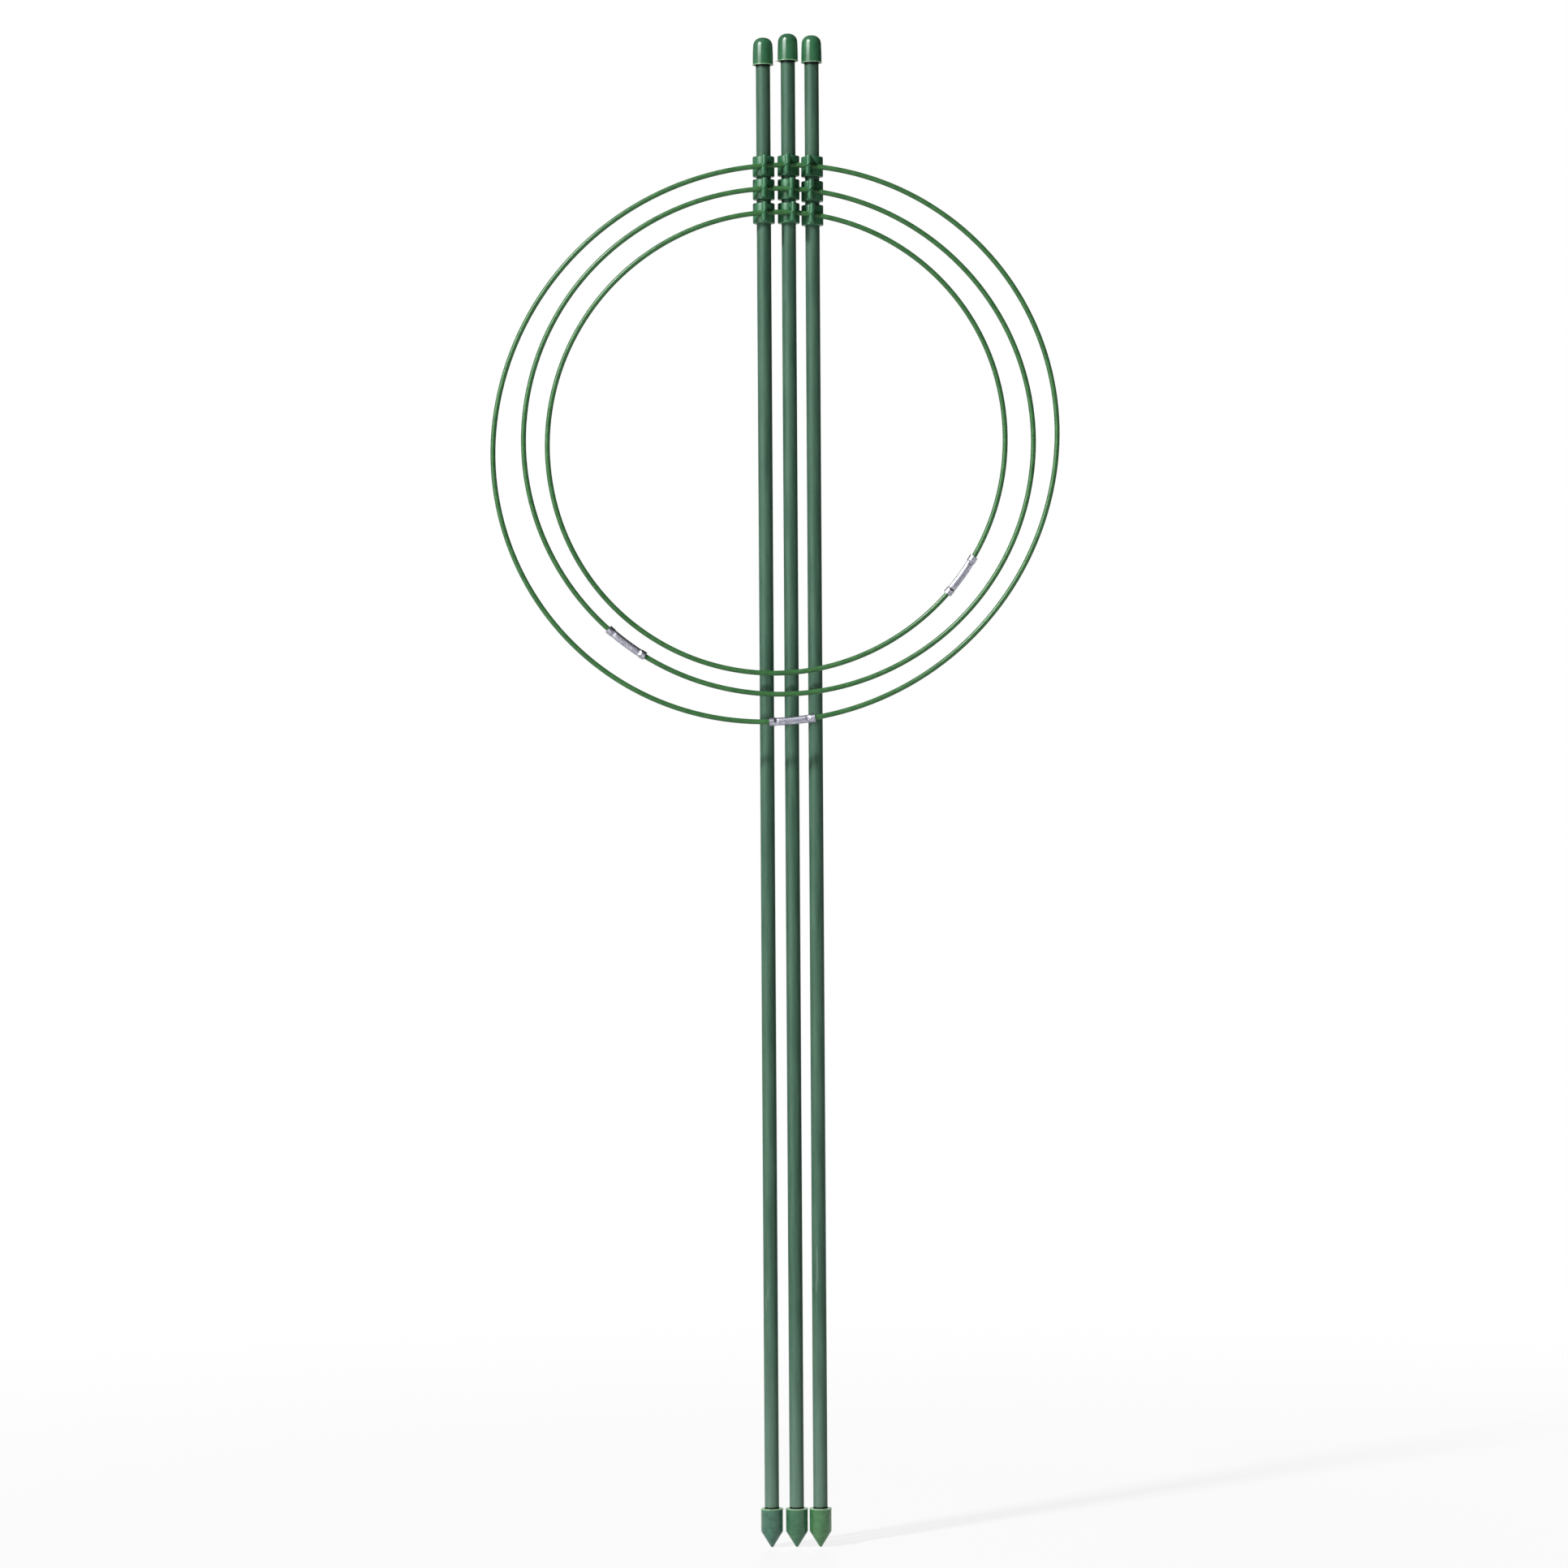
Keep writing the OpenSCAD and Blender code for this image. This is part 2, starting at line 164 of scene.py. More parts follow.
print("a mid grey of 128 is", round(srgb(128, 128, 128)[0], 3), "in linear light")

# %% [markdown]
# ## White surround
# The set is shown on white. The surround is white for the eye, but passes on little light, so the green
# plastic keeps its dark side. Gloss and metal mirror that white backdrop too, and round it the studio: bright
# on the left, where the light comes from, and dark on the right, because that is what draws the dark line
# down the edge of each stake and the grey side of the ferrules. Towards the backdrop both sides darken. In
# front, to the left, gloss sees a tall window, brightest high up: it draws the white streak down each cap. A
# picture of a studio could be wrapped round the scene, but a few ramps over the direction of view do it too,
# and each can be tuned alone. A direction's X, Y and Z run from -1 to 1: to the right, to the back and up.

# %% Studio and backdrop
LEFT_MIRROR = 0.6
RIGHT_MIRROR = 0.06
LEFT_TO_RIGHT = (-0.6, 0.4)
SIDE_SHADE = 0.15
SIDE_TO_BACK = (0, 0.6)
BACKDROP_EDGE = (0.75, 0.95)

world = bpy.data.worlds.new("white_surround")
bpy.context.scene.world = world
world.use_nodes = True
tree = world.node_tree
tree.nodes.clear()
direction = add_node(tree, "ShaderNodeTexCoord").outputs["Generated"]
heading = add_node(tree, "ShaderNodeSeparateXYZ", links={"Vector": direction}).outputs
sideways = ramped(tree, heading["X"], *LEFT_TO_RIGHT, LEFT_MIRROR, RIGHT_MIRROR)
room = worked_out(tree, "MULTIPLY", sideways, ramped(tree, heading["Y"], *SIDE_TO_BACK, 1, SIDE_SHADE))
room = worked_out(tree, "MAXIMUM", room, ramped(tree, heading["Y"], *BACKDROP_EDGE))
print("studio nodes:", len(tree.nodes))

# %% Window
WINDOW_TURN = math.radians(-42)
WINDOW_EDGE = 0.24
WINDOW_BLUR = 0.14
WINDOW_FRONT = (-0.1, 0)
WINDOW_MIRROR = 16
WINDOW_SKIRT = 0.25
SKIRT_START = (-0.25, -0.1)
PANE_START = (0.1, 0.3)
PANE_END = (0.5, 0.75)

ahead = tree.nodes.new("ShaderNodeVectorRotate")
ahead.rotation_type = "Z_AXIS"
ahead.inputs["Angle"].default_value = -WINDOW_TURN
tree.links.new(direction, ahead.inputs["Vector"])
seen = add_node(tree, "ShaderNodeSeparateXYZ", links={"Vector": ahead.outputs[0]}).outputs
beside = worked_out(tree, "MULTIPLY", seen["X"], seen["X"])
window = ramped(tree, beside, WINDOW_EDGE ** 2, (WINDOW_EDGE + WINDOW_BLUR) ** 2, WINDOW_MIRROR, 0)
window = worked_out(tree, "MULTIPLY", window, ramped(tree, seen["Y"], *WINDOW_FRONT, 1, 0))
skirt = ramped(tree, seen["Z"], *SKIRT_START, 0, WINDOW_SKIRT)
panes = worked_out(tree, "MAXIMUM", ramped(tree, seen["Z"], *PANE_START), skirt)
panes = worked_out(tree, "MULTIPLY", panes, ramped(tree, seen["Z"], *PANE_END, 1, 0))
mirrored = worked_out(tree, "ADD", room, worked_out(tree, "MULTIPLY", window, panes))
print("window turned by", round(math.degrees(WINDOW_TURN)), "degrees")

# %% What each ray sees
FILL_LEVEL = 0.03
WHITE = (1, 1, 1, 1)


def light_path_share(tree):
    """1 for what the eye sees straight, in a mirror or through glass, and 0 for light that is passed on."""
    path = add_node(tree, "ShaderNodeLightPath").outputs
    mirrored = worked_out(tree, "MAXIMUM", path["Is Glossy Ray"], path["Is Transmission Ray"])
    return worked_out(tree, "MAXIMUM", mirrored, path["Is Camera Ray"])


fill = add_node(tree, "ShaderNodeBackground", {"Color": WHITE, "Strength": FILL_LEVEL})
mirror = add_node(tree, "ShaderNodeBackground", {"Color": WHITE}, {"Strength": mirrored})
white = add_node(tree, "ShaderNodeBackground", {"Color": WHITE, "Strength": 1})
passed_on = mixed_shader(tree, light_path_share(tree), fill, mirror)
straight = add_node(tree, "ShaderNodeLightPath").outputs["Is Camera Ray"]
surround = mixed_shader(tree, straight, passed_on, white)
add_node(tree, "ShaderNodeOutputWorld", links={"Surface": surround.outputs[0]})
print("surround nodes:", len(tree.nodes))

# %% [markdown]
# ## Floor
# The points of the feet stand on a plain floor. Near them it is part white paint, which takes a pale shadow.
# Further out it turns into the same white as the surround, so that no horizon shows. A floor of paint alone
# would go grey where the lamps don't reach, so a glow that only the eye and mirrors see makes up the rest.

# %% Floor
FLOOR_REACH = 6.0
SHADOW_REACH = 0.35
WHITE_REACH = 1.3
NEAR_GLOW = 0.84
PAINT_WHITE = (0.9, 0.9, 0.9, 1)

floor_paint = bpy.data.materials.new("floor_paint")
floor_paint.use_nodes = True
tree = floor_paint.node_tree
tree.nodes.clear()
place = add_node(tree, "ShaderNodeTexCoord").outputs["Object"]
reach = tree.nodes.new("ShaderNodeVectorMath")
reach.operation = "LENGTH"
tree.links.new(place, reach.inputs[0])
glow = ramped(tree, reach.outputs["Value"], SHADOW_REACH, WHITE_REACH, NEAR_GLOW, 1)
seen_glow = worked_out(tree, "MULTIPLY", glow, light_path_share(tree))
paint = add_node(tree, "ShaderNodeBsdfDiffuse", {"Color": PAINT_WHITE})
shine = add_node(tree, "ShaderNodeEmission", {"Color": WHITE, "Strength": 1})
floor_mix = mixed_shader(tree, seen_glow, paint, shine)
add_node(tree, "ShaderNodeOutputMaterial", links={"Surface": floor_mix.outputs[0]})

bm = bmesh.new()
bmesh.ops.create_grid(bm, x_segments=1, y_segments=1, size=FLOOR_REACH)
bmesh.ops.translate(bm, verts=bm.verts, vec=(0, 0, cad_low.z))
floor_mesh = bpy.data.meshes.new("floor")
bm.to_mesh(floor_mesh)
bm.free()
floor_mesh.materials.append(floor_paint)
floor = bpy.data.objects.new("floor", floor_mesh)
bpy.context.scene.collection.objects.link(floor)
print("floor at", round(cad_low.z / MM, 2), "mm")

# %% [markdown]
# ## Lamps
# Light falls on the set from the left of the camera and from well above it. The main lamp is a soft box
# there, on the side of the window that the caps mirror, and far enough away to light top and bottom alike.
# The right sides are dark, so there is no lamp there. A low lamp straight behind lights the back when the set
# is turned round. Gloss doesn't mirror that one, because it would draw a pale, broken line along the upper
# edges of the wires.


# %% Lamps
def soft_box(name, azimuth, elevation, distance, width, height, power, mirrored=True):
    """An area lamp that faces the middle of the stakes. Azimuth 0 is the camera's side, and 90 the right."""
    lamp_data = bpy.data.lights.new(name, "AREA")
    lamp_data.shape = "RECTANGLE"
    lamp_data.size = width
    lamp_data.size_y = height
    lamp_data.energy = power
    lamp = bpy.data.objects.new(name, lamp_data)
    turn, rise = math.radians(azimuth), math.radians(elevation)
    away = Vector((math.sin(turn) * math.cos(rise), -math.cos(turn) * math.cos(rise), math.sin(rise)))
    lamp.location = VIEW_CENTRE + distance * away
    lamp.rotation_euler = away.to_track_quat("Z", "Y").to_euler()
    lamp.visible_glossy = mirrored
    bpy.context.scene.collection.objects.link(lamp)
    print(name, "at", [round(x, 2) for x in lamp.location])


soft_box("key_lamp", azimuth=-44, elevation=41, distance=10.0, width=0.8, height=1.2, power=990)
soft_box(
    "back_lamp", azimuth=180, elevation=14, distance=6.0, width=1.2, height=1.2, power=180, mirrored=False
)

# %% [markdown]
# ## Plastic finishes
# All the green parts are plastic, but no two kinds look alike. The sleeves are extruded, so their marks run
# along the stake, and handling has left pale scuffs. The caps are soft vinyl and shiny, the clips are satin,
# and the wire coating is smooth. The feet come from three batches, each a slightly other green. One function
# makes them all from noise in the object's own coordinates: tone, roughness and a fine relief. `stretch`
# pulls the noise out along the stake, and the last argument mixes in colours by amounts that a piece stores
# on its vertices: on the sleeves, a paler tint and a painted shade.

# %% Plastic
MOTTLE_GRAINS = 6
TONE_STOPS = (0.3, 0.7)
SCUFF_EDGE = 0.1
GRAIN_DEPTH = 0.1 * MM


def blank_finish(name):
    """A new material, its node tree, its shader, and the coordinates of the piece that wears it."""
    finish = bpy.data.materials.new(name)
    finish.use_nodes = True
    tree = finish.node_tree
    place = add_node(tree, "ShaderNodeTexCoord").outputs["Object"]
    return finish, tree, tree.nodes["Principled BSDF"], place


def noise(tree, place, scale, detail, roughness=0.5):
    """A socket with noise that has so many patches to a metre."""
    settings = {"Scale": scale, "Detail": detail, "Roughness": roughness}
    return add_node(tree, "ShaderNodeTexNoise", settings, {"Vector": place}).outputs[0]


def toned(tree, value, stops, tones):
    """A colour socket that runs from one tone to the other while the value runs between two stops."""
    node = add_node(tree, "ShaderNodeValToRGB", links={"Fac": value})
    for element, stop, tone in zip(node.color_ramp.elements, stops, tones):
        element.position = stop
        element.color = srgb(*tone)
    return node.outputs[0]


def mixed(tree, share, first, second):
    """A colour socket between another socket and a colour as a picture editor shows it."""
    mix = tree.nodes.new("ShaderNodeMix")
    mix.data_type = "RGBA"
    tree.links.new(share, mix.inputs["Factor"])
    tree.links.new(first, mix.inputs[6])
    mix.inputs[7].default_value = srgb(*second)
    return mix.outputs[2]


def give_relief(tree, shader, height, strength, depth):
    """Lets a noise stand out of the surface by up to a depth."""
    skin = add_node(tree, "ShaderNodeBump", {"Strength": strength, "Distance": depth}, {"Height": height})
    tree.links.new(skin.outputs[0], shader.inputs["Normal"])


def plastic(name, tones, roughness, grain_mm, relief, specular, stretch=1.0, scuffs=None, tints_and_shade=None):
    """A moulded or extruded plastic with uneven tone, uneven gloss and a fine surface relief."""
    finish, tree, shader, place = blank_finish(name)
    shader.inputs["Specular IOR Level"].default_value = specular
    pulled = add_node(tree, "ShaderNodeMapping", {"Scale": (1, 1, 1 / stretch)}, {"Vector": place}).outputs[0]
    mottle = noise(tree, pulled, 1 / (MOTTLE_GRAINS * grain_mm * MM), detail=5)
    colour = toned(tree, mottle, TONE_STOPS, tones)
    if scuffs:
        rubbed = noise(tree, pulled, scuffs["scale"], detail=3, roughness=0.6)
        worn = ramped(tree, rubbed, scuffs["start"], scuffs["start"] + SCUFF_EDGE, 0, scuffs["strength"])
        colour = mixed(tree, worn, colour, scuffs["tone"])
    # Colours mixed in by amounts stored on the vertices; on the sleeves one of them is a painted shade.
    for tint_or_shade, tone in (tints_and_shade or {}).items():
        amount = tree.nodes.new("ShaderNodeAttribute")
        amount.attribute_name = tint_or_shade
        colour = mixed(tree, amount.outputs["Fac"], colour, tone)
    tree.links.new(colour, shader.inputs["Base Color"])
    tree.links.new(ramped(tree, mottle, *TONE_STOPS, *roughness), shader.inputs["Roughness"])
    grain = noise(tree, pulled, 1 / (grain_mm * MM), detail=4)
    give_relief(tree, shader, grain, relief, GRAIN_DEPTH)
    return finish


print("plastic: mottle", MOTTLE_GRAINS, "times as coarse as the grain")

# %% Plastic finishes
FOOT_TONES = {
    "left": ((58, 104, 86), (74, 122, 102)),
    "centre": ((54, 106, 74), (70, 124, 90)),
    "right": ((64, 118, 72), (82, 136, 88)),
}

sleeve_plastic = plastic(
    "sleeve_plastic", tones=((58, 90, 73), (79, 112, 93)), roughness=(0.42, 0.56),
    grain_mm=0.5, relief=0.25, specular=0.2, stretch=12,
    scuffs={"scale": 260, "start": 0.66, "strength": 0.35, "tone": (150, 176, 160)},
    # The darkest colour is a painted shade under the cap's lip and above the foot's rim.
    tints_and_shade={"paling": (132, 160, 144), "painted_shade": (16, 24, 20)},
)
cap_vinyl = plastic(
    "cap_vinyl", tones=((50, 104, 70), (62, 120, 82)), roughness=(0.1, 0.16),
    grain_mm=1.6, relief=0.03, specular=0.5,
)
foot_plastics = {
    column: plastic(
        f"{column}_foot_plastic", tones=tones, roughness=(0.18, 0.28),
        grain_mm=0.6, relief=0.1, specular=0.5,
        scuffs={"scale": 420, "start": 0.64, "strength": 0.3, "tone": (140, 178, 150)},
    )
    for column, tones in FOOT_TONES.items()
}
clip_plastic = plastic(
    "clip_plastic", tones=((50, 104, 71), (64, 120, 84)), roughness=(0.26, 0.35),
    grain_mm=0.8, relief=0.05, specular=0.35,
)
wire_plastic = plastic(
    "wire_plastic", tones=((54, 104, 58), (70, 122, 71)), roughness=(0.22, 0.3),
    grain_mm=0.9, relief=0.02, specular=0.25,
)
# Pale rims: the paler cut edge of the caps, with a painted highlight on the rims of caps and feet.
rim_highlight_plastic = plastic(
    "rim_highlight_plastic", tones=((124, 170, 128), (168, 206, 164)), roughness=(0.3, 0.4),
    grain_mm=0.4, relief=0.15, specular=0.45,
)
print("plastic finishes:", [m.name for m in bpy.data.materials if m.name.endswith(("plastic", "vinyl"))])

# %% [markdown]
# ## Metal finishes
# The ferrules are soft aluminium tube, squeezed flat with a press: satin, slightly blue, with cloudy patches
# and small dents. The steel inside the stakes and rings hardly shows, but it gets a plain drawn-steel finish.
# In each, one cloudy noise sets tone and gloss together: duller where it is darker, as on handled metal.

# %% Metal finishes
CLOUD_STOPS = (0.35, 0.65)
CLOUD_DEPTH = 0.2 * MM


def metal(name, tones, roughness, cloud_mm, relief):
    """A bare metal with cloudy gloss and a dented skin."""
    finish, tree, shader, place = blank_finish(name)
    shader.inputs["Metallic"].default_value = 1
    cloud = noise(tree, place, 1 / (cloud_mm * MM), detail=5, roughness=0.6)
    tree.links.new(toned(tree, cloud, CLOUD_STOPS, tones), shader.inputs["Base Color"])
    dullness = ramped(tree, cloud, *CLOUD_STOPS, *reversed(roughness))
    tree.links.new(dullness, shader.inputs["Roughness"])
    give_relief(tree, shader, cloud, relief, CLOUD_DEPTH)
    return finish


ferrule_aluminium = metal(
    "ferrule_aluminium", tones=((146, 146, 160), (190, 190, 202)), roughness=(0.3, 0.4),
    cloud_mm=2.4, relief=0.08,
)
core_steel = metal(
    "core_steel", tones=((120, 122, 126), (160, 162, 166)), roughness=(0.3, 0.5),
    cloud_mm=2.0, relief=0.2,
)
for node, solid in frame["nodes"].items():
    if node.endswith(("_tube", "_wire")):
        solid.data.materials.clear()
        solid.data.materials.append(core_steel)
print("metal finishes:", ferrule_aluminium.name, core_steel.name)

# %% [markdown]
# ## Turning a section
# Caps, feet and sleeves are round, so each is a half section turned about the stake. The section is drawn
# like a pen line: `pen_line` goes straight to a point, and `pen_arc` swings the tip round a centre. Both are
# bmesh operators, and a last spin makes the surface. Points on the axis meet in one pole when doubles are
# merged. Sections are drawn in millimetres.

# %% Pen and lathe
TURN_STEPS = 72
MERGE = 0.002 * MM


def only(kind, parts):
    """Those parts of a bmesh that are of one kind: vertices, edges or faces."""
    return [part for part in parts if isinstance(part, kind)]


def pen_start(bm, radius, height):
    """Sets the pen down."""
    return bm.verts.new((radius * MM, 0, height * MM))


def pen_line(bm, tip, radius, height):
    """Draws straight to a point."""
    end = bmesh.ops.extrude_vert_indiv(bm, verts=[tip])["verts"][0]
    end.co = (radius * MM, 0, height * MM)
    return end


def pen_arc(bm, tip, centre, degrees, steps):
    """Swings the pen about a centre. Positive degrees go from the axis direction towards the outside."""
    swung = bmesh.ops.spin(
        bm, geom=[tip], cent=(centre[0] * MM, 0, centre[1] * MM), axis=(0, 1, 0),
        angle=math.radians(degrees), steps=steps,
    )["geom_last"]
    return only(BMVert, swung)[0]


def lathe(bm, steps=TURN_STEPS):
    """Turns the drawn section right round the Z axis, and closes its seam and poles."""
    bmesh.ops.spin(
        bm, geom=bm.verts[:] + bm.edges[:], cent=(0, 0, 0), axis=(0, 0, 1),
        angle=math.tau, steps=steps, use_merge=True,
    )
    bmesh.ops.remove_doubles(bm, verts=bm.verts, dist=MERGE)
    bmesh.ops.recalc_face_normals(bm, faces=bm.faces)


print("a full turn takes", TURN_STEPS, "steps")

# %% [markdown]
# ## From mesh to finished piece
# Every piece goes the same last way. Its mesh is shaded smooth, apart from edges that are really sharp, gets
# its finishes, rides on the body of the solid that it stands for, and takes that solid's place. A report then
# compares the two boxes, so that a slip in a size shows at once.

# %% Finished pieces
COLUMNS = ("left", "centre", "right")
SHARP_ANGLE = math.radians(38)


def finished_piece(name, bm, node, slot, *finishes):
    """An object from the bmesh, in the place of a solid and riding on that solid's body."""
    mesh = bpy.data.meshes.new(name)
    bm.to_mesh(mesh)
    bm.free()
    mesh.shade_smooth()
    mesh.set_sharp_from_angle(angle=SHARP_ANGLE)
    for finish in finishes:
        mesh.materials.append(finish)
    piece = bpy.data.objects.new(name, mesh)
    bpy.context.scene.collection.objects.link(piece)
    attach(piece, frame["nodes"][node]["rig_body"])
    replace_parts(piece, node)
    return piece


def fit_report(pieces):
    """How far each piece's box lies from the box of the solid that it stands for, at most, in mm."""
    for piece in pieces:
        corners = [v.co for v in piece.data.vertices]
        low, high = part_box(piece["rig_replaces"][0])
        off = max(
            max(abs(min(c[k] for c in corners) - low[k]), abs(max(c[k] for c in corners) - high[k]))
            for k in range(3)
        )
        print(piece.name, "faces:", len(piece.data.polygons), "off its solid by", round(off / MM, 2), "mm")


print("columns:", COLUMNS)

# %% [markdown]
# ## Sleeves
# A sleeve is green plastic drawn over the steel tube through a round die. Small nicks in the die leave faint
# lines along the whole stake, which break up its highlight. They are real relief here: each line of the
# turned tube is moved in by up to a hundredth of a millimetre or so, from a seeded list. A painted shade
# darkens the corner under the cap's lip and above the foot's rim, and the lowest hand's breadth is paler
# towards the bottom. Both are amounts on the vertices, so the tube gets extra rings where they start and end.

# %% Sleeves
SLEEVE_WALL = 0.5
SLEEVE_EDGE = 0.15
DIE_LINES = 120
DIE_DEPTH = 0.012
# Painted shade from the foot's rim and the cap's lip, in mm: full to the first, gone by the second.
PAINTED_SHADE_FULL = 0.8
PAINTED_SHADE_END = 1.2
# The lowest part of the sleeve is paler towards the bottom: up to this height, most at the foot's rim.
PALING_TOP = 140
PALING_MOST = 0.4


def sleeve(column):
    """The sleeve of one stake, with its die lines, a painted shade near both ends, and a paler lowest part.
    """
    low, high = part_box(f"{column}_sleeve")
    radius, bottom, top = (high.x - low.x) / 2 / MM, low.z / MM, high.z / MM
    rim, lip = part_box(f"{column}_foot")[1].z / MM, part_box(f"{column}_cap")[0].z / MM
    bm = bmesh.new()
    start = pen_start(bm, radius - SLEEVE_WALL, bottom)
    tip = pen_line(bm, start, radius - SLEEVE_EDGE, bottom)
    tip = pen_line(bm, tip, radius, bottom + SLEEVE_EDGE)
    for level in (rim + PAINTED_SHADE_FULL, rim + PAINTED_SHADE_END, PALING_TOP, lip - PAINTED_SHADE_END, lip - PAINTED_SHADE_FULL):
        tip = pen_line(bm, tip, radius, level)
    tip = pen_line(bm, tip, radius, top - SLEEVE_EDGE)
    tip = pen_line(bm, tip, radius - SLEEVE_EDGE, top)
    tip = pen_line(bm, tip, radius - SLEEVE_WALL, top)
    bm.edges.new((tip, start))
    lathe(bm, DIE_LINES)

    painted_shade, paling = (bm.verts.layers.float.new(tint_or_shade) for tint_or_shade in ("painted_shade", "paling"))
    painted_shade_reach = (PAINTED_SHADE_FULL + PAINTED_SHADE_END) / 2
    draws = random.Random(column)
    depths = [draws.uniform(-DIE_DEPTH, 0) for _ in range(DIE_LINES)]
    for vert in bm.verts:
        level = vert.co.z / MM
        # A painted shade under the cap's lip and above the foot's rim, where their shadow falls.
        vert[painted_shade] = level > lip - painted_shade_reach or level < rim + painted_shade_reach
        # Paler towards the bottom.
        vert[paling] = PALING_MOST * max(0, (PALING_TOP - level) / (PALING_TOP - rim))
        line = round(math.atan2(vert.co.y, vert.co.x) / math.tau * DIE_LINES) % DIE_LINES
        if vert.co.xy.length > (radius - SLEEVE_EDGE / 2) * MM:
            vert.co.xy *= 1 + depths[line] / radius
    bmesh.ops.translate(bm, verts=bm.verts, vec=((low.x + high.x) / 2, 0, 0))
    return finished_piece(f"{column}_stake_sleeve", bm, f"{column}_sleeve", "stake_sleeve", sleeve_plastic)


fit_report([sleeve(column) for column in COLUMNS])

# %% [markdown]
# ## Caps
# A cap is a soft vinyl thimble pushed over the stake, so nobody pokes an eye. Its wall narrows a little
# towards the dome and bellies slightly, and its mouth opens into a funnel so that it slips on. The mouth was
# trimmed by hand: a slightly wavy cut edge, with a wisp of trim left hanging at the left and centre caps. The
# edge's pale colour is partly the paler cut and partly a painted highlight. The wisp is pulled out of the rim
# by extruding a few of its faces, each time a little smaller.

# %% Wisp of trim
WISPS = {"left": (-150, 1.5), "centre": (-158, 2.4)}
WISP_DROP = 0.35
WISP_NARROW = 0.985
WISP_FACING = 0.3
WISP_SHARES = (0.45, 0.35, 0.2)
WISP_SHRINK = 0.6


def pull_wisp(bm, rim, angle, length):
    """Pulls a thin tongue of trim out of the lower rim faces near an angle about the stake."""
    away = Vector((math.cos(angle), math.sin(angle), -WISP_DROP))
    aim = away.xy.normalized()
    near = [
        face for face in rim
        if face.calc_center_median().xy.normalized().dot(aim) > WISP_NARROW and face.normal.z < WISP_FACING
    ]
    for share in WISP_SHARES:
        pulled = bmesh.ops.extrude_face_region(bm, geom=near)["geom"]
        bmesh.ops.delete(bm, geom=near, context="FACES")
        near = only(BMFace, pulled)
        verts = list({vert for face in near for vert in face.verts})
        step = away * length * share
        middle = sum((vert.co for vert in verts), Vector()) / len(verts) + step
        bmesh.ops.translate(bm, verts=verts, vec=step)
        bmesh.ops.scale(bm, verts=verts, vec=[WISP_SHRINK] * 3, space=Matrix.Translation(-middle))


print("wisps on the caps:", list(WISPS))

# %% Caps
SOCKET_R = 4.3
CAP_MOUTH_R = 6.05
CAP_NECK_R = 5.8
CAP_BELLY = 0.1
CAP_WALL_STEPS = 8
CAP_DOME_R = 4.9
CAP_ROOF = 3.0
CAP_FUNNEL = 2.5
LIP_R = 6.3
LIP_H = 0.6
LIP_SWEEP = -240
LIP_WAVE = 0.12
LIP_WAVE_COUNTS = (2, 3, 4)


def cap(column):
    """The cap of one stake, with its trimmed lip."""
    low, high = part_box(f"{column}_cap")
    height = (high.z - low.z) / MM
    dome_z = height - CAP_DOME_R
    bead = LIP_H / 2
    bm = bmesh.new()
    tip = pen_start(bm, 0, height - CAP_ROOF)
    tip = pen_line(bm, tip, SOCKET_R, height - CAP_ROOF)
    tip = pen_line(bm, tip, SOCKET_R, CAP_FUNNEL)
    tip = pen_line(bm, tip, LIP_R - LIP_H, bead)
    tip = pen_arc(bm, tip, (LIP_R - bead, bead), LIP_SWEEP, steps=10)
    for step in range(CAP_WALL_STEPS + 1):
        share = step / CAP_WALL_STEPS
        radius = CAP_MOUTH_R + share * (CAP_NECK_R - CAP_MOUTH_R) + CAP_BELLY * 4 * share * (1 - share)
        tip = pen_line(bm, tip, radius, LIP_H + share * (dome_z - LIP_H))
    tip = pen_arc(bm, tip, (CAP_NECK_R - CAP_DOME_R, dome_z), -90, steps=14)
    pen_line(bm, tip, 0, height)
    lathe(bm)

    draws = random.Random(f"{column} lip")
    turns = [draws.uniform(0, math.tau) for _ in LIP_WAVE_COUNTS]
    for vert in bm.verts:
        around = math.atan2(vert.co.y, vert.co.x)
        waves = [math.sin(count * around + turn) for count, turn in zip(LIP_WAVE_COUNTS, turns)]
        wave = sum(waves) / len(waves)
        share = max(0.0, 1 - vert.co.z / (2 * LIP_H * MM))
        vert.co.z += share * (1 - wave) * LIP_WAVE * MM
    # The lower rim faces get the pale rim colour: the paler cut edge and a painted highlight.
    rim = []
    for face in bm.faces:
        middle = face.calc_center_median()
        if middle.z < LIP_H * MM and middle.xy.length > (LIP_R - LIP_H) * MM:
            face.material_index = 1
            rim.append(face)
    if column in WISPS:
        angle, length = WISPS[column]
        pull_wisp(bm, rim, math.radians(angle), length * MM)
    bmesh.ops.translate(bm, verts=bm.verts, vec=((low.x + high.x) / 2, 0, low.z))
    return finished_piece(f"{column}_dome_cap", bm, f"{column}_cap", "stake_cap", cap_vinyl, rim_highlight_plastic)


fit_report([cap(column) for column in COLUMNS])

# %% [markdown]
# ## Feet
# A foot is a thick moulded thimble with a cone on its end, which goes into the soil. The mould leaves a small
# raised rim at the mouth; its pale top is a painted highlight. The cone runs tangent into a blunt tip, so the
# section follows the same construction: a line from the shoulder that just touches the tip's circle.

# %% Feet
FOOT_R = 6.5
FOOT_POINT = 9.5
FOOT_TIP_R = 1.0
FOOT_RIM_R = 6.75
FOOT_RIM_H = 0.6
FOOT_RIM_SWEEP = 165
FOOT_SOCKET = 11.0
SOCKET_EDGE = 0.25


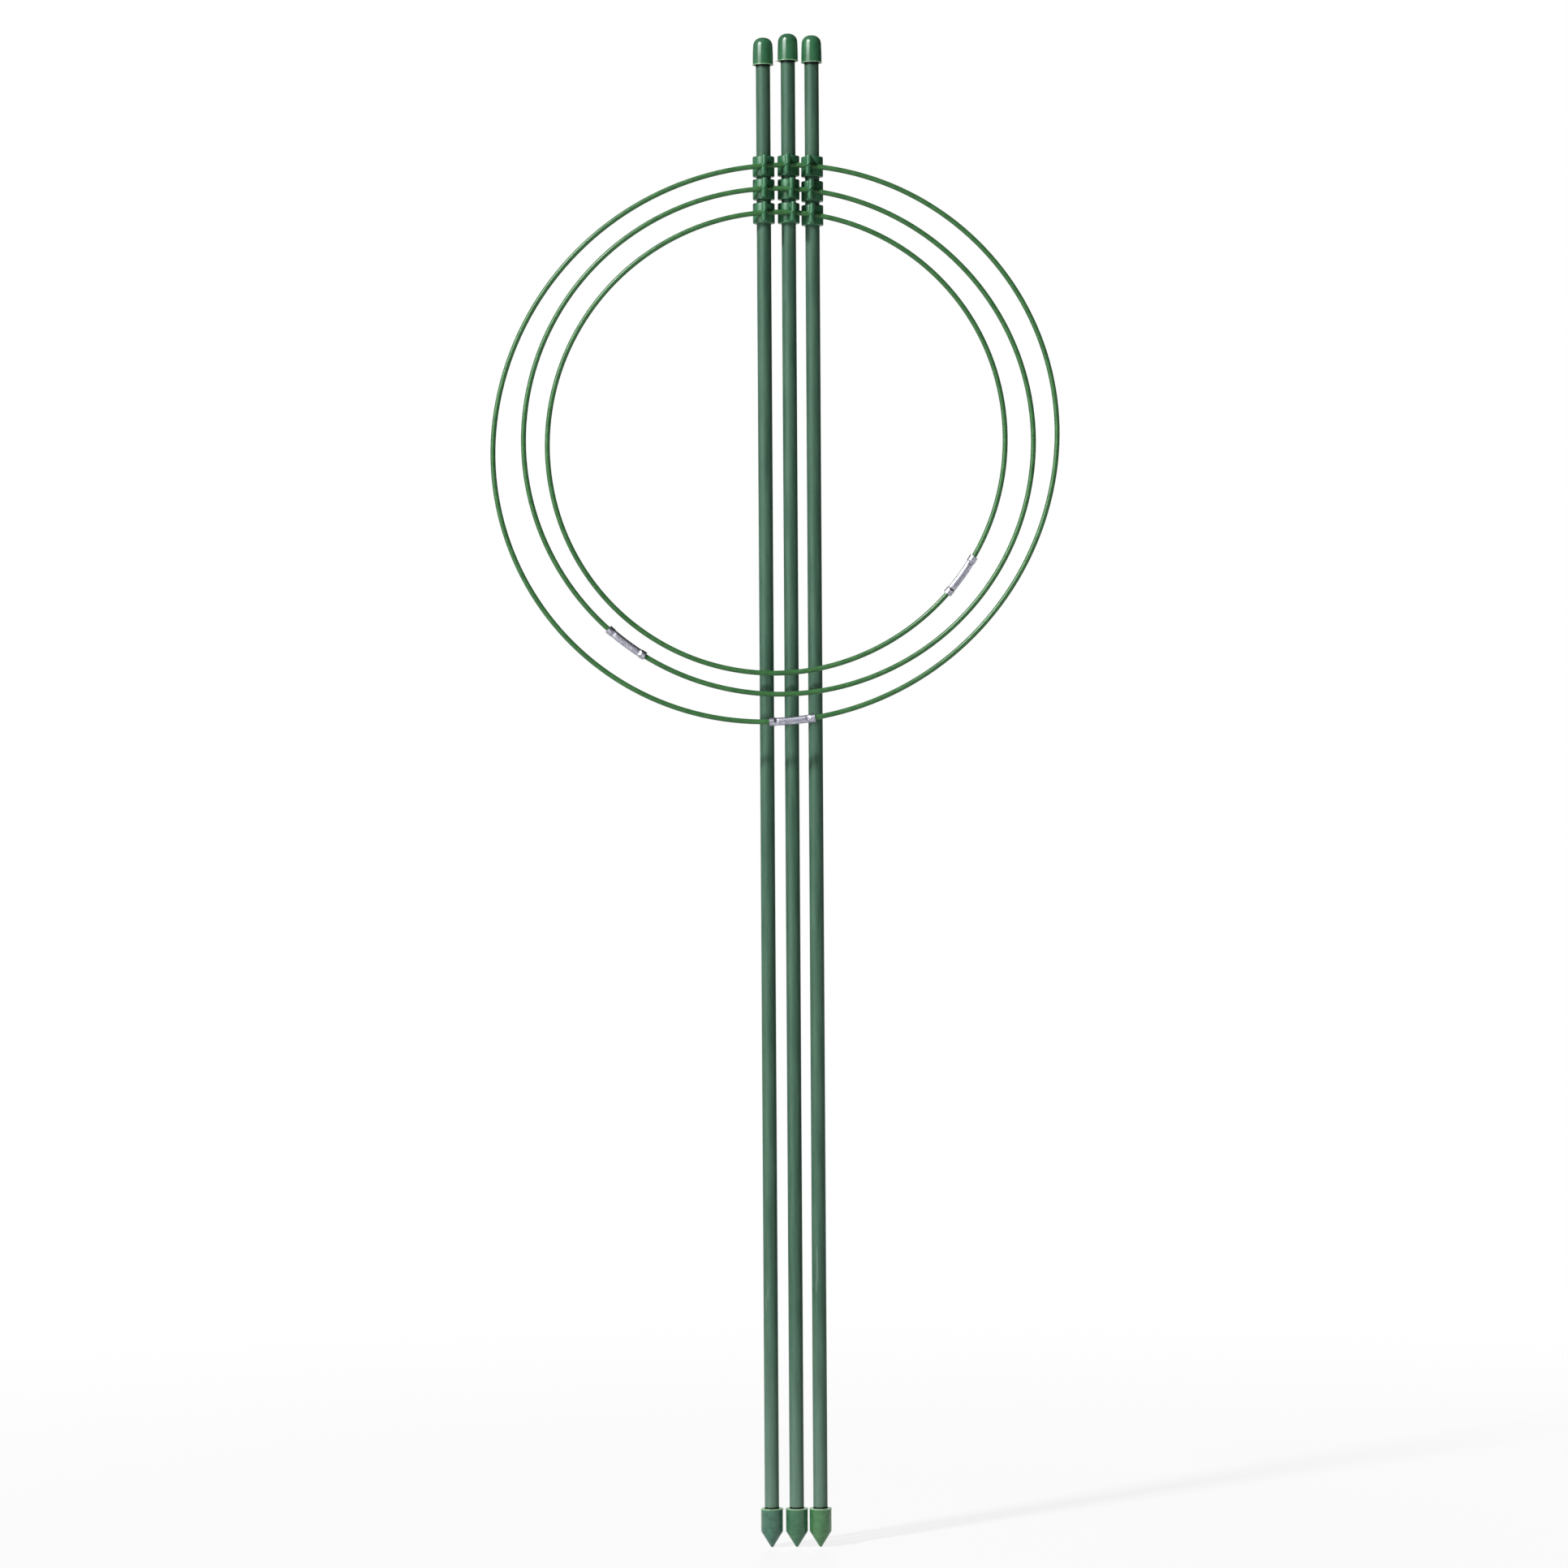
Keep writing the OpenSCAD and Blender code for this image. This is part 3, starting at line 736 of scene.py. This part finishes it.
def foot(column):
    """The foot of one stake, with its point down."""
    low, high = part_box(f"{column}_foot")
    top = (high.z - low.z) / MM
    bead = FOOT_RIM_H / 2
    rise = FOOT_POINT - FOOT_TIP_R
    slope = math.atan2(rise, FOOT_R) - math.acos(FOOT_TIP_R / math.hypot(FOOT_R, rise))
    bm = bmesh.new()
    tip = pen_start(bm, 0, top - FOOT_SOCKET)
    tip = pen_line(bm, tip, SOCKET_R, top - FOOT_SOCKET)
    tip = pen_line(bm, tip, SOCKET_R, top - SOCKET_EDGE)
    tip = pen_line(bm, tip, SOCKET_R + SOCKET_EDGE, top)
    tip = pen_line(bm, tip, FOOT_RIM_R - bead, top)
    tip = pen_arc(bm, tip, (FOOT_RIM_R - bead, top - bead), FOOT_RIM_SWEEP, steps=9)
    tip = pen_line(bm, tip, FOOT_R, top - FOOT_RIM_H - SOCKET_EDGE)
    tip = pen_line(bm, tip, FOOT_R, FOOT_POINT)
    tip = pen_line(bm, tip, FOOT_TIP_R * math.cos(slope), FOOT_TIP_R + FOOT_TIP_R * math.sin(slope))
    pen_arc(bm, tip, (0, FOOT_TIP_R), 90 + math.degrees(slope), steps=8)
    lathe(bm)
    # The rim's top gets the pale rim colour, a painted highlight.
    for face in bm.faces:
        middle = face.calc_center_median()
        if middle.z > (top - FOOT_RIM_H) * MM and middle.xy.length > SOCKET_R * MM:
            face.material_index = 1
    bmesh.ops.translate(bm, verts=bm.verts, vec=((low.x + high.x) / 2, 0, low.z))
    finishes = (foot_plastics[column], rim_highlight_plastic)
    return finished_piece(f"{column}_spike_foot", bm, f"{column}_foot", "stake_foot", *finishes)


fit_report([foot(column) for column in COLUMNS])

# %% [markdown]
# ## Clip collars
# A clip is one small moulding. A C-shaped collar snaps on the stake from the front, and an eye in front of it
# holds the ring wire between two round jaws. The collar is a rounded section spun through the C. The outer
# half of each end is then spun on by half a turn about its own middle, which makes the round lips. A ring cut
# open would leave square ends there, which catch the eye and wouldn't slip over a stake.

# %% Collar
COLLAR_R = 6.5
COLLAR_BORE_R = 4.35
COLLAR_TOP = 6.2
COLLAR_BOTTOM = -5.8
COLLAR_MOUTH = 76
COLLAR_ROUND = 0.6
COLLAR_CORNER_STEPS = 5
COLLAR_LIP_STEPS = 10
COLLAR_STEPS = 64


def spin_about(bm, geom, centre, degrees, steps):
    """Spins geometry about an upright axis through a centre, and gives back its last copy."""
    return bmesh.ops.spin(
        bm, geom=geom, cent=centre, axis=(0, 0, 1), angle=math.radians(degrees), steps=steps,
    )["geom_last"]


def outer_half(geom, mid_r):
    """The vertices and edges of a section that lie outside a radius, or on it."""
    reach = mid_r - MERGE
    verts = [vert for vert in only(BMVert, geom) if vert.co.xy.length > reach]
    edges = [edge for edge in only(BMEdge, geom) if all(vert.co.xy.length > reach for vert in edge.verts)]
    return verts + edges


def collar():
    """The C of a clip about the stake, with its mouth at the back and the wire's level at height 0."""
    middle = (COLLAR_R + COLLAR_BORE_R) / 2
    half = (COLLAR_R - COLLAR_BORE_R) / 2 - COLLAR_ROUND
    high, low = COLLAR_TOP - COLLAR_ROUND, COLLAR_BOTTOM + COLLAR_ROUND
    bm = bmesh.new()
    start = pen_start(bm, middle, COLLAR_TOP)
    tip = pen_line(bm, start, middle + half, COLLAR_TOP)
    tip = pen_arc(bm, tip, (middle + half, high), 90, COLLAR_CORNER_STEPS)
    tip = pen_line(bm, tip, middle + half + COLLAR_ROUND, low)
    tip = pen_arc(bm, tip, (middle + half, low), 90, COLLAR_CORNER_STEPS)
    tip = pen_line(bm, tip, middle, COLLAR_BOTTOM)
    outer = bm.verts[:] + bm.edges[:]
    tip = pen_line(bm, tip, middle - half, COLLAR_BOTTOM)
    tip = pen_arc(bm, tip, (middle - half, low), 90, COLLAR_CORNER_STEPS)
    tip = pen_line(bm, tip, middle - half - COLLAR_ROUND, high)
    tip = pen_arc(bm, tip, (middle - half, high), 90, COLLAR_CORNER_STEPS)
    bm.edges.new((tip, start))

    first = 90 + COLLAR_MOUTH / 2
    turned = Matrix.Rotation(math.radians(first), 3, "Z")
    bmesh.ops.rotate(bm, verts=bm.verts, cent=(0, 0, 0), matrix=turned)
    section = bm.verts[:] + bm.edges[:]
    last = spin_about(bm, section, (0, 0, 0), 360 - COLLAR_MOUTH, COLLAR_STEPS)
    mid_r = middle * MM
    for angle, side in ((first, -1), (first - COLLAR_MOUTH, 1)):
        lip = Vector((math.cos(math.radians(angle)), math.sin(math.radians(angle)), 0)) * mid_r
        chain = outer if side < 0 else outer_half(last, mid_r)
        spin_about(bm, chain, lip, 180 * side, COLLAR_LIP_STEPS)
    bmesh.ops.remove_doubles(bm, verts=bm.verts, dist=MERGE)
    bmesh.ops.recalc_face_normals(bm, faces=bm.faces)
    return bm


trial = collar()
print("collar faces:", len(trial.faces), "open edges:", sum(edge.is_boundary for edge in trial.edges))
trial.free()

# %% [markdown]
# ## Jaws and webs
# The two jaws are round pegs with soft free ends, one above the other, and part along a sloping slit when the
# wire is pressed in. Two webs run from the collar to the jaws, above and below the wire, and the room between
# them is the eye. A jaw is a turned section like a cap, and a web is a box with rounded edges. They are
# joined to the collar with unions, because a moulding has no seams, and the slit is cut last.

# %% Jaws and webs
WIRE_R = 1.5
EYE_TOP = 2.797
EYE_BOTTOM = -1.85
JAW_R = 1.65
JAW_REACH = 12.747
JAW_STEP = 0.4
JAW_ROUND = 0.9
JAW_OVERLAP = 0.3
JAW_SIDES = 32


def jaw(length, side):
    """A round jaw with a soft free end. Side 1 stands up from the slit, and -1 hangs down."""
    bm = bmesh.new()
    tip = pen_start(bm, 0, length)
    tip = pen_line(bm, tip, JAW_R - JAW_ROUND, length)
    tip = pen_arc(bm, tip, (JAW_R - JAW_ROUND, length - JAW_ROUND), 90, steps=6)
    tip = pen_line(bm, tip, JAW_R, -JAW_OVERLAP)
    pen_line(bm, tip, 0, -JAW_OVERLAP)
    lathe(bm, JAW_SIDES)
    bmesh.ops.scale(bm, verts=bm.verts, vec=(1, 1, side))
    bmesh.ops.translate(bm, verts=bm.verts, vec=(side * JAW_STEP / 2 * MM, -JAW_REACH * MM, 0))
    bmesh.ops.recalc_face_normals(bm, faces=bm.faces)
    return bm


def block(low, high, rounding=0):
    """A box between two corners, with its edges rounded where a radius is given."""
    bm = bmesh.new()
    size = [(b - a) * MM for a, b in zip(low, high)]
    middle = [(a + b) / 2 * MM for a, b in zip(low, high)]
    bmesh.ops.create_cube(bm, size=1)
    bmesh.ops.scale(bm, verts=bm.verts, vec=size)
    if rounding:
        bmesh.ops.bevel(
            bm, geom=bm.edges[:], offset=rounding * MM, affect="EDGES", segments=3, profile=0.5, material=-1
        )
    bmesh.ops.translate(bm, verts=bm.verts, vec=middle)
    return bm


print("eye:", round(EYE_TOP - EYE_BOTTOM, 2), "mm high for a wire of", 2 * WIRE_R, "mm")

# %% One moulded clip
WEB_W = 2.4
WEB_ROUND = 0.35
SLIT_W = 0.5
SLIT_SLOPE = 38
SLIT_REACH = 3 * JAW_R
SLIT_DEPTH = 2 * JAW_R


def loose_object(bm):
    """A helper object that is joined into a clip and then removed."""
    mesh = bpy.data.meshes.new("clip_blank")
    bm.to_mesh(mesh)
    bm.free()
    blank = bpy.data.objects.new("clip_blank", mesh)
    bpy.context.scene.collection.objects.link(blank)
    return blank


def moulded(body, joined, cut):
    """A bmesh of the body with other bmeshes joined to it and others cut from it."""
    blank = loose_object(body)
    others = [(loose_object(bm), "UNION") for bm in joined] + [(loose_object(bm), "DIFFERENCE") for bm in cut]
    for other, operation in others:
        step = blank.modifiers.new(operation.lower(), "BOOLEAN")
        step.solver = "EXACT"
        step.operation = operation
        step.object = other
    view = bpy.context.evaluated_depsgraph_get()
    result = bmesh.new()
    result.from_object(blank, view)
    for used in [blank] + [other for other, _ in others]:
        mesh = used.data
        bpy.data.objects.remove(used)
        bpy.data.meshes.remove(mesh)
    bmesh.ops.remove_doubles(result, verts=result.verts, dist=MERGE)
    return result


slit = block((-SLIT_REACH, -SLIT_DEPTH, -SLIT_W / 2), (SLIT_REACH, SLIT_DEPTH, SLIT_W / 2))
bmesh.ops.rotate(slit, verts=slit.verts, matrix=Matrix.Rotation(math.radians(-SLIT_SLOPE), 3, "Y"))
bmesh.ops.translate(slit, verts=slit.verts, vec=(0, -JAW_REACH * MM, 0))
half_web = WEB_W / 2
web_back = -(COLLAR_R + COLLAR_BORE_R) / 2
web_top, web_bottom = COLLAR_TOP - COLLAR_ROUND, COLLAR_BOTTOM + COLLAR_ROUND
clip_master = moulded(
    collar(),
    [
        block((-half_web, -JAW_REACH, EYE_TOP), (half_web, web_back, web_top), WEB_ROUND),
        block((-half_web, -JAW_REACH, web_bottom), (half_web, web_back, EYE_BOTTOM), WEB_ROUND),
        jaw(COLLAR_TOP, 1),
        jaw(-COLLAR_BOTTOM, -1),
    ],
    [slit],
)
open_edges = sum(edge.is_boundary for edge in clip_master.edges)
print("clip faces:", len(clip_master.faces), "open edges:", open_edges)

# %% [markdown]
# ## Nine clips
# All nine clips come from one mould, so one is made and copied. Each copy is turned about its stake by a few
# degrees of its own, the way clips sit when they are pushed on by hand, and goes to the height of its solid.

# %% Nine clips
ROWS = ("upper", "middle", "lower")
CLIP_TURNS = {"left": (2, 2, 2), "centre": (-3.5, 8, 12), "right": (-10, -4.5, -2)}


def clip(column, row):
    """The clip of one row on one stake."""
    node = f"{column}_{row}_clip"
    stake_low, stake_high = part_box(f"{column}_tube")
    wire_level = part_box(node)[1].z - COLLAR_TOP * MM
    bm = clip_master.copy()
    turn = math.radians(CLIP_TURNS[column][ROWS.index(row)])
    bmesh.ops.rotate(bm, verts=bm.verts, cent=(0, 0, 0), matrix=Matrix.Rotation(turn, 3, "Z"))
    bmesh.ops.translate(bm, verts=bm.verts, vec=((stake_low.x + stake_high.x) / 2, 0, wire_level))
    return finished_piece(f"{column}_{row}_snap_clip", bm, node, "clip", clip_plastic)


fit_report([clip(column, row) for column in COLUMNS for row in ROWS])

# %% [markdown]
# ## Ring shape
# A ring is steel wire in a green coating, bent round and closed by a ferrule. No hand-bent ring is a true
# circle, so each is four tangent quarter arcs, which makes it a little longer one way. It is worked out flat,
# in its own frame and in millimetres, and then hung from the pivot of its tilt joint, leaning forward.

# %% Ring shape
RINGS = {
    "outer": {"diameter": 330.5, "oval": 6.8, "long_axis": 52, "lean": 2.6, "ferrule_at": 175},
    "middle": {"diameter": 299.5, "oval": 1.2, "long_axis": 107, "lean": 1.7, "ferrule_at": 217},
    "inner": {"diameter": 271, "oval": 2.4, "long_axis": 30, "lean": 0.8, "ferrule_at": 126},
}
ARC_SIGNS = ((1, 1), (-1, 1), (-1, -1), (1, -1))


def ring_turn(ring):
    """How far the ring's arcs are turned clockwise, so that its long axis lies where it should."""
    return ring["long_axis"] - 45


def arc_centre(ring, k):
    """The centre of a ring's arc. Arc 0 starts at the top, and the others follow clockwise."""
    return Vector((ARC_SIGNS[k][0] * ring["oval"], ARC_SIGNS[k][1] * ring["oval"], 0))


def arc_radius(ring, k):
    """The radius of a ring's arc: shorter and longer in turn."""
    return ring["diameter"] / 2 + (ring["oval"] if k % 2 else -ring["oval"])


def arc_point(ring, k, angle):
    """The point of an arc at a clockwise angle from the top, in the ring's own frame, in mm."""
    turn = math.radians(angle)
    return arc_centre(ring, k) + arc_radius(ring, k) * Vector((math.sin(turn), math.cos(turn), 0))


def ferrule_place(ring):
    """The arc that holds the ferrule, and the ferrule's clockwise angle in the ring's own frame."""
    angle = (ring["ferrule_at"] - ring_turn(ring)) % 360
    return int(angle // 90), angle


def hang(name):
    """The matrix that takes a ring from its own frame, in mm, to where it hangs from its pivot."""
    ring = RINGS[name]
    joint = next(j for j in frame["joints"] if j["name"] == f"{name}_ring_tilt")
    axis = Vector(joint["axis"])
    angle = math.degrees(math.atan2(axis.z, -axis.x)) - ring_turn(ring)
    turned_back = Matrix.Rotation(math.radians(-ring_turn(ring)), 4, "Z")
    hook = turned_back @ arc_point(ring, int(angle % 360 // 90), angle)
    return (
        Matrix.Translation(joint["pos_m"])
        @ Matrix.Rotation(math.radians(ring["lean"]), 4, axis)
        @ Matrix.Rotation(math.radians(90), 4, "X")
        @ Matrix.Scale(MM, 4)
        @ Matrix.Translation(-hook)
        @ turned_back
    )


for name in RINGS:
    print(name, "ring: ferrule on arc", ferrule_place(RINGS[name])[0])

# %% [markdown]
# ## Ring wires
# A small circle is spun from arc to arc, starting and ending at the gap inside the ferrule. A curve with a
# bevel would be quicker, but only comes close to true arcs. `solidify` then gives the coating its wall, with
# room for the steel core inside it.

# %% Ring wires
WIRE_SIDES = 20
COATING_WALL = 0.35
WIRE_END_GAP = 0.6
SPIN_STEP = 2


def section_circle(bm, ring, k, angle, radius, sides):
    """A circle across an arc of a ring, at a clockwise angle from the top."""
    turn = math.radians(angle)
    across = Matrix((
        (math.sin(turn), 0, math.cos(turn)),
        (math.cos(turn), 0, -math.sin(turn)),
        (0, 1, 0),
    )).to_4x4()
    place = Matrix.Translation(arc_point(ring, k, angle)) @ across
    verts = bmesh.ops.create_circle(bm, segments=sides, radius=radius, matrix=place)["verts"]
    return verts + list({edge for vert in verts for edge in vert.link_edges})


def spin_along(bm, geom, ring, k, degrees, steps):
    """Spins a section clockwise along an arc, and gives back its last copy."""
    return spin_about(bm, geom, arc_centre(ring, k), -degrees, steps)


def ring_wire(name):
    """The coating of one ring, from one wire end round to the other."""
    ring = RINGS[name]
    k, at = ferrule_place(ring)
    gap = math.degrees(WIRE_END_GAP / 2 / arc_radius(ring, k))
    spans = [(k, at + gap, 90 * (k + 1))]
    spans += [(arc, 0, 90) for arc in (k + 1, k + 2, k + 3)]
    spans += [(k, 90 * k, at - gap)]
    bm = bmesh.new()
    section = section_circle(bm, ring, k, at + gap, WIRE_R, WIRE_SIDES)
    for arc, first, last in spans:
        steps = max(1, round((last - first) / SPIN_STEP))
        section = spin_along(bm, section, ring, arc % 4, last - first, steps)
    bmesh.ops.recalc_face_normals(bm, faces=bm.faces)
    bmesh.ops.solidify(bm, geom=bm.faces[:], thickness=COATING_WALL)
    bmesh.ops.transform(bm, matrix=hang(name), verts=bm.verts)
    return finished_piece(f"{name}_ring_coat", bm, f"{name}_coating", "ring_coating", wire_plastic)


fit_report([ring_wire(name) for name in RINGS])

# %% [markdown]
# ## Ferrules
# The two ends of a ring meet in a short aluminium tube. A press squeezes its middle flat on the wire, and the
# last few millimetres at each end stay round, so the wire goes into a dark little mouth there. The tube is
# spun along the ring with an inner and an outer wall, and its two ends are filled. Then each vertex is
# pressed in by a rule that depends on how far along the tube it lies, the way the press would do it. The
# flats are a soft limit: a point in the middle hardly moves, and one that stands out further is held back,
# the more squarely the higher `PRESS_ROUND` is. Two thumb-like dents end the pressed part.

# %% Press
FERRULE_LEN = 27
FERRULE_BAND = 3.6
FERRULE_BAND_R = 2.6
FERRULE_MOUTH_R = 2.0
FERRULE_WAIST_R = 2.3
FERRULE_FLAT = 4.0
PRESS_GAP = 0.02
PRESS_EDGE = 0.7
PRESS_ROUND = 4
DENT_DEPTH = 0.2
DENT_WIDTH = 1.3
DENT_LENGTH = 1.1
HAMMER = 0.005


def eased(low, high, value):
    """0 below low, 1 above high, and a smooth run between them."""
    share = min(1, max(0, (value - low) / (high - low)))
    return share * share * (3 - 2 * share)


def pressed(along, across, out, outer, draws):
    """Where the press moves a point. Across lies in the ring's plane, and out points to the viewer."""
    waist_end = FERRULE_LEN / 2 - FERRULE_BAND
    band = eased(waist_end - PRESS_EDGE / 2, waist_end + PRESS_EDGE / 2, abs(along))
    if not outer:
        grip = WIRE_R + PRESS_GAP + band * (FERRULE_MOUTH_R - WIRE_R)
        return across * grip / FERRULE_MOUTH_R, out * grip / FERRULE_MOUTH_R
    shrink = (FERRULE_WAIST_R + band * (FERRULE_BAND_R - FERRULE_WAIST_R)) / FERRULE_BAND_R
    flat = 1 + (abs(out) * shrink / (FERRULE_FLAT / 2)) ** PRESS_ROUND * (1 - band)
    across, out = across * shrink, out * shrink / flat ** (1 / PRESS_ROUND)
    along_dent = (abs(along) - waist_end + DENT_LENGTH / 2) / DENT_LENGTH
    out -= DENT_DEPTH * math.exp(-along_dent ** 2 - (across / DENT_WIDTH) ** 2) * (out > 0)
    rough = HAMMER * (1 - band) * draws.uniform(-1, 1)
    return across, out + rough


print("pressed part:", round(FERRULE_LEN - 2 * FERRULE_BAND, 1), "mm long")

# %% Ferrules
FERRULE_STEPS = 72
FERRULE_SIDES = 32


def ferrule(name):
    """The ferrule of one ring."""
    ring = RINGS[name]
    k, at = ferrule_place(ring)
    radius = arc_radius(ring, k)
    half = math.degrees(FERRULE_LEN / 2 / radius)
    bm = bmesh.new()
    wall_radii = (FERRULE_BAND_R, FERRULE_MOUTH_R)
    walls = [section_circle(bm, ring, k, at - half, wall_r, FERRULE_SIDES) for wall_r in wall_radii]
    first = walls[0] + walls[1]
    last = spin_along(bm, first, ring, k, 2 * half, FERRULE_STEPS)
    for end in (first, last):
        bmesh.ops.triangle_fill(bm, edges=only(BMEdge, end), use_beauty=True)
    draws = random.Random(f"{name} press")
    centre = arc_centre(ring, k)
    for vert in bm.verts:
        arm = vert.co - centre
        reach = arm.xy.length
        along = math.radians(math.degrees(math.atan2(arm.x, arm.y)) % 360 - at) * radius
        outer = math.hypot(reach - radius, vert.co.z) > (FERRULE_BAND_R + FERRULE_MOUTH_R) / 2
        across, out = pressed(along, reach - radius, vert.co.z, outer, draws)
        vert.co.xy = centre.xy + arm.xy * (radius + across) / reach
        vert.co.z = out
    bmesh.ops.transform(bm, matrix=hang(name), verts=bm.verts)
    bmesh.ops.recalc_face_normals(bm, faces=bm.faces)
    return finished_piece(f"{name}_crimp_ferrule", bm, f"{name}_ferrule", "ring_ferrule", ferrule_aluminium)


fit_report([ferrule(name) for name in RINGS])
